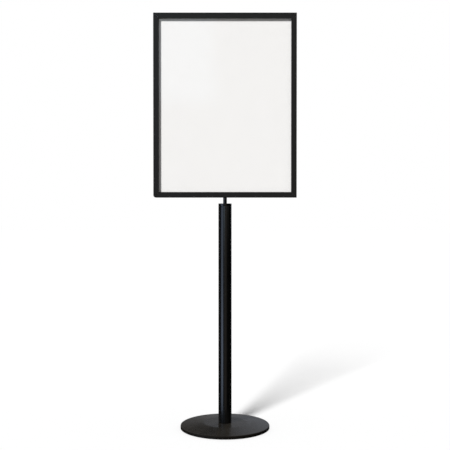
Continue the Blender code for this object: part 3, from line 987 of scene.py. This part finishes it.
def rail_hole_tools(node):
    """Holes for the rail's own key screws and, in the bottom rail, for the stem and bar screws."""
    tools = []
    lo, hi = BOX[node]
    level = node in ("top_rail", "bottom_rail")
    for at in SCREW_PLACES.values():
        within = lo.x < at.x < hi.x and lo.z < at.z < hi.z
        in_level_rail = abs(at.z - FRAME_MIDDLE) > FRAME_HEIGHT / 2 - 20 * MM
        if within and level == in_level_rail:
            tools.append(key_hole_tool(at, 9 * MM, 16 * MM))
    if node == "bottom_rail":
        start, end = FRAME_LOW - 3 * MM, FRAME_LOW + 8 * MM
        tools.append(upright_tool("stud", STUD_HOLE, 0, start, end))
        for x in BAR_SCREWS_X:
            tools.append(upright_tool("bar", 2.4 * MM, x, start, end))
            tools.append(upright_tool(
                "bar_sink", 5.3 * MM, x, FRAME_LOW - 1 * MM, FRAME_LOW + 2.5 * MM, tip=1.8 * MM))
    return tools


def key_screw(name, at):
    """Button head with a hex socket, axis along +Y."""
    start = low(name).y
    under = 12.8 * MM - start  # underside of the head
    top = high(name).y - start
    outline = [(0, 0), (1.3 * MM, 0), (1.65 * MM, 0.4 * MM)]
    outline += thread(
        start=0.8 * MM, stop=under - 0.9 * MM, pitch=0.7 * MM,
        tooth=((1.68 * MM, 0), (1.38 * MM, 0.35 * MM)))
    outline += [
        (1.7 * MM, under - 0.3 * MM), (1.7 * MM, under), (3.35 * MM, under),
        (3.5 * MM, under + 0.15 * MM), (3.5 * MM, under + 0.5 * MM)]
    for k in range(1, 8):
        angle = math.radians(12 + 66 * k / 7)
        outline.append((1.9 * MM + 1.6 * MM * math.cos(angle),
                        under + 0.5 * MM + (top - under - 0.5 * MM) * math.sin(angle)))
    outline.append((1.75 * MM, top))
    socket = len(outline)
    outline += [
        (1.36 * MM, top), (1.25 * MM, top - 0.2 * MM),
        (1.25 * MM, top - 1.4 * MM), (0, top - 1.75 * MM)]
    shape = hex_rings(range(socket, socket + 3))
    screw = lathe(name + "_button", outline, 48, shape, smooth=30)
    return lay_along_y(screw, at.x, start, at.z)


def stem():
    """The rod under the frame: a groove for the lock screw and a threaded top."""
    radius, bottom, top = high("stem").x, low("stem").z, high("stem").z
    groove_radius = 6.2 * MM
    groove_low, groove_high = LOCK_Z - 3.5 * MM, LOCK_Z + 3.5 * MM
    shoulder = FRAME_LOW - 0.3 * MM
    outline = fillet([
        (0, bottom), (radius, bottom, 1.0 * MM),
        (radius, groove_low, 0.3 * MM), (groove_radius, groove_low, 0.5 * MM),
        (groove_radius, groove_high, 0.5 * MM), (radius, groove_high, 0.3 * MM),
        (radius, shoulder, 0.6 * MM), (4.0 * MM, shoulder, 0.2 * MM)], steps=4)[:-1]
    outline += thread(
        start=shoulder + 0.8 * MM, stop=top - 1.4 * MM, pitch=1.25 * MM,
        tooth=((3.95 * MM, 0), (3.35 * MM, 0.6 * MM)))
    outline += [(3.9 * MM, top - 0.9 * MM), (3.1 * MM, top), (0, top)]
    return lathe("stem_rod", outline, 96, smooth=28)


def bar_screw(node):
    """Countersunk screw, head down, with a hex socket."""
    z0, z1 = low(node).z, high(node).z
    outline = [
        (0, z0 + 2.3 * MM), (1.2 * MM, z0 + 2.0 * MM), (1.2 * MM, z0 + 0.2 * MM),
        (1.32 * MM, z0), (3.8 * MM, z0), (4.0 * MM, z0 + 0.12 * MM),
        (4.0 * MM, z0 + 0.3 * MM), (2.0 * MM, z0 + 2.3 * MM)]
    outline += thread(
        start=z0 + 2.6 * MM, stop=z1 - 0.8 * MM, pitch=0.7 * MM,
        tooth=((1.98 * MM, 0), (1.6 * MM, 0.35 * MM)))
    outline += [(1.6 * MM, z1), (0, z1)]
    return lathe(node + "_countersunk", outline, 60, hex_rings(range(1, 4)),
                 centre_x=middle(node, "x"), smooth=30)


def nut_bar():
    """A bar across the stem's thread, with a tapped hole for each bar screw."""
    bar = block("nut_bar_milled", "nut_bar", bevel=0.5 * MM)
    start, end = low("nut_bar").z - 10 * MM, high("nut_bar").z + 10 * MM
    tools = [upright_tool("bore", STUD_HOLE, 0, start, end)]
    for x in BAR_SCREWS_X:
        tools.append(upright_tool("tap", 2.3 * MM, x, start, end, segments=32))
    return weigh(carve(bar, tools, smooth=50))


def corner_key(node):
    """An L-shaped plate with rounded corners and stamped edges."""
    lo, hi = BOX[node]
    # The outline is drawn from the frame's outer corner, inwards along both rails.
    inward_x = 1 if lo.x < 0 else -1
    inward_z = 1 if lo.z < FRAME_MIDDLE else -1
    corner_x = inward_x * -HALF_WIDTH
    corner_z = FRAME_LOW if inward_z > 0 else FRAME_HIGH
    near, far, leg, radius = 4.8 * MM, 20.0 * MM, 60 * MM, 2.0 * MM
    outline = fillet([
        (near, near, radius), (leg, near, radius), (leg, far, radius),
        (far, far, 1.5 * MM), (far, leg, radius), (near, leg, radius)], steps=5)
    bm = bmesh.new()
    plate = bm.faces.new([
        bm.verts.new((corner_x + inward_x * x, lo.y, corner_z + inward_z * z))
        for x, z in outline])
    grown = bmesh.ops.extrude_face_region(bm, geom=[plate])["geom"]
    moved = [part for part in grown if isinstance(part, bmesh.types.BMVert)]
    bmesh.ops.translate(bm, verts=moved, vec=(0, hi.y - lo.y, 0))
    bmesh.ops.recalc_face_normals(bm, faces=bm.faces)
    rims = [
        e for e in bm.edges
        if len(e.link_faces) == 2 and e.calc_face_angle() > 1.2
        and abs(e.verts[0].co.y - e.verts[1].co.y) < 1e-7]
    bmesh.ops.bevel(bm, geom=rims, offset=0.35 * MM, segments=2, profile=0.5, affect="EDGES")
    obj = made(node + "_stamped", bm, 40)
    if "rear" in node:
        own_screws = "key_screw_" + node[len("corner_key_rear_"):]
        carve(obj, [key_hole_tool(at, 4 * MM, 14 * MM)
                    for name, at in SCREW_PLACES.items() if name.startswith(own_screws)], 40)
    return weigh(obj)


# node: length, then x, z and turn of the middle of its outer edge
RAILS = {
    "bottom_rail": (2 * HALF_WIDTH, 0, FRAME_LOW, 0),
    "top_rail": (2 * HALF_WIDTH, 0, FRAME_HIGH, math.pi),
    "left_rail": (FRAME_HEIGHT, -HALF_WIDTH, FRAME_MIDDLE, math.pi / 2),
    "right_rail": (FRAME_HEIGHT, HALF_WIDTH, FRAME_MIDDLE, -math.pi / 2),
}
rails = {node: rail(node + "_mitred", *place) for node, place in RAILS.items()}
for node, obj in rails.items():
    shape_tools = rail_shape_tools(node)
    subtract(obj, shape_tools)
    soften(obj)
    hole_tools = rail_hole_tools(node)
    subtract(obj, hole_tools)
    settle(obj, shape_tools + hole_tools)
    piece(weigh(obj), "sign_head", "frame_coat", node)

for name, at in sorted(SCREW_PLACES.items()):
    piece(key_screw(name, at), "sign_head", "black_hardware", name)

piece(stem(), "sign_head", "post_coat", "stem")
for node in ("bar_screw_left", "bar_screw_right"):
    piece(bar_screw(node), "sign_head", "black_hardware", node)
piece(nut_bar(), "sign_head", "zinc_hardware", "nut_bar")

for node in ("rest_strip_left", "rest_strip_right"):
    strip = weigh(block(node + "_moulded", node, bevel=0.8 * MM))
    piece(strip, "sign_head", "bearing_plastic", node)

for node in sorted(BOX):
    if node.startswith("corner_key_"):
        piece(corner_key(node), "sign_head", "zinc_hardware", node)


# ------------------------------------------------------------------ sheets

# node, which is also its body; edge rounding; segments of the rounding; slot
SHEETS = (
    ("front_lens", 0.35 * MM, 2, "clear_lens"),
    ("rear_lens", 0.35 * MM, 2, "clear_lens"),
    ("front_poster", 0.12 * MM, 1, "poster_paper"),
    ("rear_poster", 0.12 * MM, 1, "poster_paper"),
    ("backing_board", 0.4 * MM, 2, "backing_card"),
)
for node, bevel, segments, slot in SHEETS:
    piece(weigh(block(node + "_sheet", node, bevel, segments)), node, slot, node)


# ------------------------------------------------------------------ floor

def studio_floor():
    """A wide pale floor that is left out of reflections and bounced light."""
    bm = bmesh.new()
    bmesh.ops.create_grid(bm, x_segments=2, y_segments=2, size=40)
    obj = made("studio_floor", bm)
    obj.location = (0, 0, -0.4 * MM)
    t = Finish("pale_floor")
    t.set(Base_Color=(0.93, 0.93, 0.93), Roughness=1.0, Specular_IOR_Level=0.0)
    obj.data.materials.append(t.mat)
    obj.visible_glossy = False
    obj.visible_diffuse = False
    return obj


floor = studio_floor()
floor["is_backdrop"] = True


# ------------------------------------------------------------------ lights

def group(name, objects):
    collection = bpy.data.collections.new(name)
    bpy.context.scene.collection.children.link(collection)
    for obj in objects:
        collection.objects.link(obj)
    return collection


def sun(name, azimuth, elevation, strength, angle, receivers, blockers=None):
    """Angles in degrees; azimuth is measured from the camera side (-Y) towards +X."""
    data = bpy.data.lights.new(name, "SUN")
    data.energy, data.angle = strength, math.radians(angle)
    obj = bpy.data.objects.new(name, data)
    bpy.context.scene.collection.objects.link(obj)
    a, e = math.radians(azimuth), math.radians(elevation)
    towards = Vector((math.sin(a) * math.cos(e), -math.cos(a) * math.cos(e), math.sin(e)))
    obj.rotation_euler = (-towards).to_track_quat("-Z", "Y").to_euler()
    obj.location = towards * 5
    obj.light_linking.receiver_collection = receivers
    obj.light_linking.blocker_collection = blockers
    obj.visible_glossy = False


pieces = list(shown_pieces())


def named(*names):
    return [obj for obj in pieces if obj.name in names]


on_floor = group("lit_floor", [floor])
on_pieces = group("lit_pieces", pieces)
# Only the post and stem cast a shadow on the floor.
shade_floor = group("shade_floor", named("post_tube_drawn", "post_cap_turned", "stem_rod"))
sun("key_on_floor", azimuth=-23, elevation=27, strength=5.6, angle=15,
    receivers=on_floor, blockers=shade_floor)
sun("key_on_sign", azimuth=-43, elevation=37, strength=5.2, angle=9, receivers=on_pieces)
sun("back_on_sign", azimuth=152, elevation=32, strength=3.6, angle=14, receivers=on_pieces)
from_below = group("lit_from_below", named(
    "rubber_floor_ring", "cast_base_weight", "base_bolt_m12", "base_washer_turned",
    "base_lock_washer_turned"))
# This one reaches the underside only with the floor away.
sun("under_the_base", azimuth=-35, elevation=-48, strength=3.0, angle=20, receivers=from_below)


# ------------------------------------------------------------------ world

world = bpy.data.worlds.new("studio")
bpy.context.scene.world = world
world.use_nodes = True
if hasattr(world, "cycles"):  # these settings exist only where Cycles is loaded
    world.cycles.sampling_method = "NONE"
world.node_tree.nodes.clear()
sky = Nodes(world.node_tree)
dx, dy, dz = sky.split(sky.new("ShaderNodeTexCoord").outputs["Generated"])
# 0 behind the camera, positive to its right
azimuth = sky.math("ARCTAN2", dx, sky.times(dy, -1.0))
elevation = sky.math("ARCSINE", dz)


def azimuth_from(centre):
    """Azimuth counted from a centre in degrees."""
    offset = sky.minus(azimuth, math.radians(centre))
    return sky.math("WRAP", offset, math.pi, -math.pi)


def fade(direction, between, to=(0.0, 1.0)):
    """A smooth step along a direction, between two angles in degrees."""
    return sky.span(direction, [math.radians(a) for a in between], to, curve="SMOOTHSTEP")


def window(centre, half, soft, lo, hi, lo_soft=6, hi_soft=6):
    """1 inside a window of directions given in degrees, fading to 0 over its soft borders."""
    off = sky.math("ABSOLUTE", azimuth_from(centre))
    inside = fade(off, between=(half, half + soft), to=(1, 0))
    above = fade(elevation, between=(lo - lo_soft, lo))
    below = fade(elevation, between=(hi, hi + hi_soft), to=(1, 0))
    return sky.times(inside, sky.times(above, below))


def product(*factors):
    return reduce(sky.times, factors)


def glow(colour, shape, strength=None):
    amount = shape if strength is None else sky.times(shape, strength)
    return sky.vector_math("SCALE", colour, amount)


def back_wall():
    """A pale wall, lit to its full height on the right and only low down on the left."""
    past_back = azimuth_from(180)  # grows from the right of the back wall to its left
    edge = (-2.3, -0.2)  # where the two lit parts meet
    right = product(
        fade(past_back, between=(-61, -50)),
        fade(past_back, between=edge, to=(1, 0)),
        fade(past_back, between=(-6, -0.5), to=(1.12, 0.88)),
        fade(elevation, between=(26, 44), to=(1, 0)))
    left = product(
        fade(past_back, between=edge),
        fade(past_back, between=(6, 12), to=(1, 0)),
        fade(past_back, between=(0, 5), to=(0.80, 0.27)),
        fade(elevation, between=(15, 21), to=(1, 0)))
    return product(
        sky.plus(right, left),
        fade(elevation, between=(-14, -6)),
        fade(elevation, between=(2, 8), to=(0.3, 1.0)))


def reflected_room():
    """What the glossy surfaces mirror."""
    cool = (0.74, 0.90, 1.20)
    softbox_fall = product(  # brighter low down, then cut off
        fade(elevation, between=(-16, 4), to=(2.6, 1.45)),
        fade(elevation, between=(-25, -17), to=(0.2, 1.0)))
    lights = (
        # dim room
        glow((1.0, 1.0, 1.0), fade(elevation, between=(30, 75), to=(0.005, 0.12))),
        # tall softbox to the front left
        glow(cool, window(centre=-52, half=9, soft=16, lo=-60, hi=20, lo_soft=20, hi_soft=30),
             softbox_fall),
        # warm wall behind the camera, and a window high on its left
        glow((1.0, 0.88, 0.76), window(centre=6, half=14, soft=16, lo=-40, hi=40), 0.26),
        glow((0.83, 1.10, 1.36),
             window(centre=-15, half=13.6, soft=1.2, lo=8.2, hi=26, lo_soft=0.8)),
        # wall at the back, and a dim warm band to its left
        glow((0.90, 0.96, 1.10), back_wall(), 0.335),
        glow((1.05, 1.0, 0.92),
             window(centre=-150, half=28, soft=8, lo=-8, hi=8, lo_soft=8, hi_soft=9), 0.11),
        # floor lights to the left and right
        glow(cool, window(centre=-80, half=8, soft=8, lo=-85, hi=-27, lo_soft=5, hi_soft=4), 1.5),
        glow((1.0, 0.93, 0.84),
             window(centre=100, half=10, soft=10, lo=-85, hi=-27, lo_soft=5, hi_soft=4), 1.0),
        # pale screens higher up, back left and front right
        glow((0.95, 0.98, 1.05),
             window(centre=-125, half=24, soft=16, lo=20, hi=48, hi_soft=16), 0.40),
        glow((1.0, 0.98, 0.94),
             window(centre=45, half=22, soft=18, lo=14, hi=42, lo_soft=5, hi_soft=14), 0.40),
    )
    return reduce(lambda a, b: sky.vector_math("ADD", a, b), lights)


FILL = (0.27, 0.27, 0.27)  # even light on matt surfaces
BACKDROP = (1.0, 1.0, 1.0)  # what the camera sees directly
rays = sky.new("ShaderNodeLightPath").outputs
seen = sky.mix(rays["Is Glossy Ray"], FILL, reflected_room())
seen = sky.mix(rays["Is Camera Ray"], seen, BACKDROP)
background = sky.new("ShaderNodeBackground")
sky.feed(background.inputs["Color"], seen)
sky.feed(sky.new("ShaderNodeOutputWorld").inputs["Surface"], background.outputs[0])


# ------------------------------------------------------------------ camera

camera = bpy.data.cameras.new("camera")
camera.lens, camera.sensor_width = 64.98, 36.0
eye = bpy.data.objects.new("camera", camera)
bpy.context.scene.collection.objects.link(eye)
eye.location = (0.0, -3.243, 0.8581)
eye.rotation_euler = (math.radians(90 - 0.82), 0, 0)  # tilted slightly down
bpy.context.scene.camera = eye
bpy.context.scene.view_settings.view_transform = "Standard"
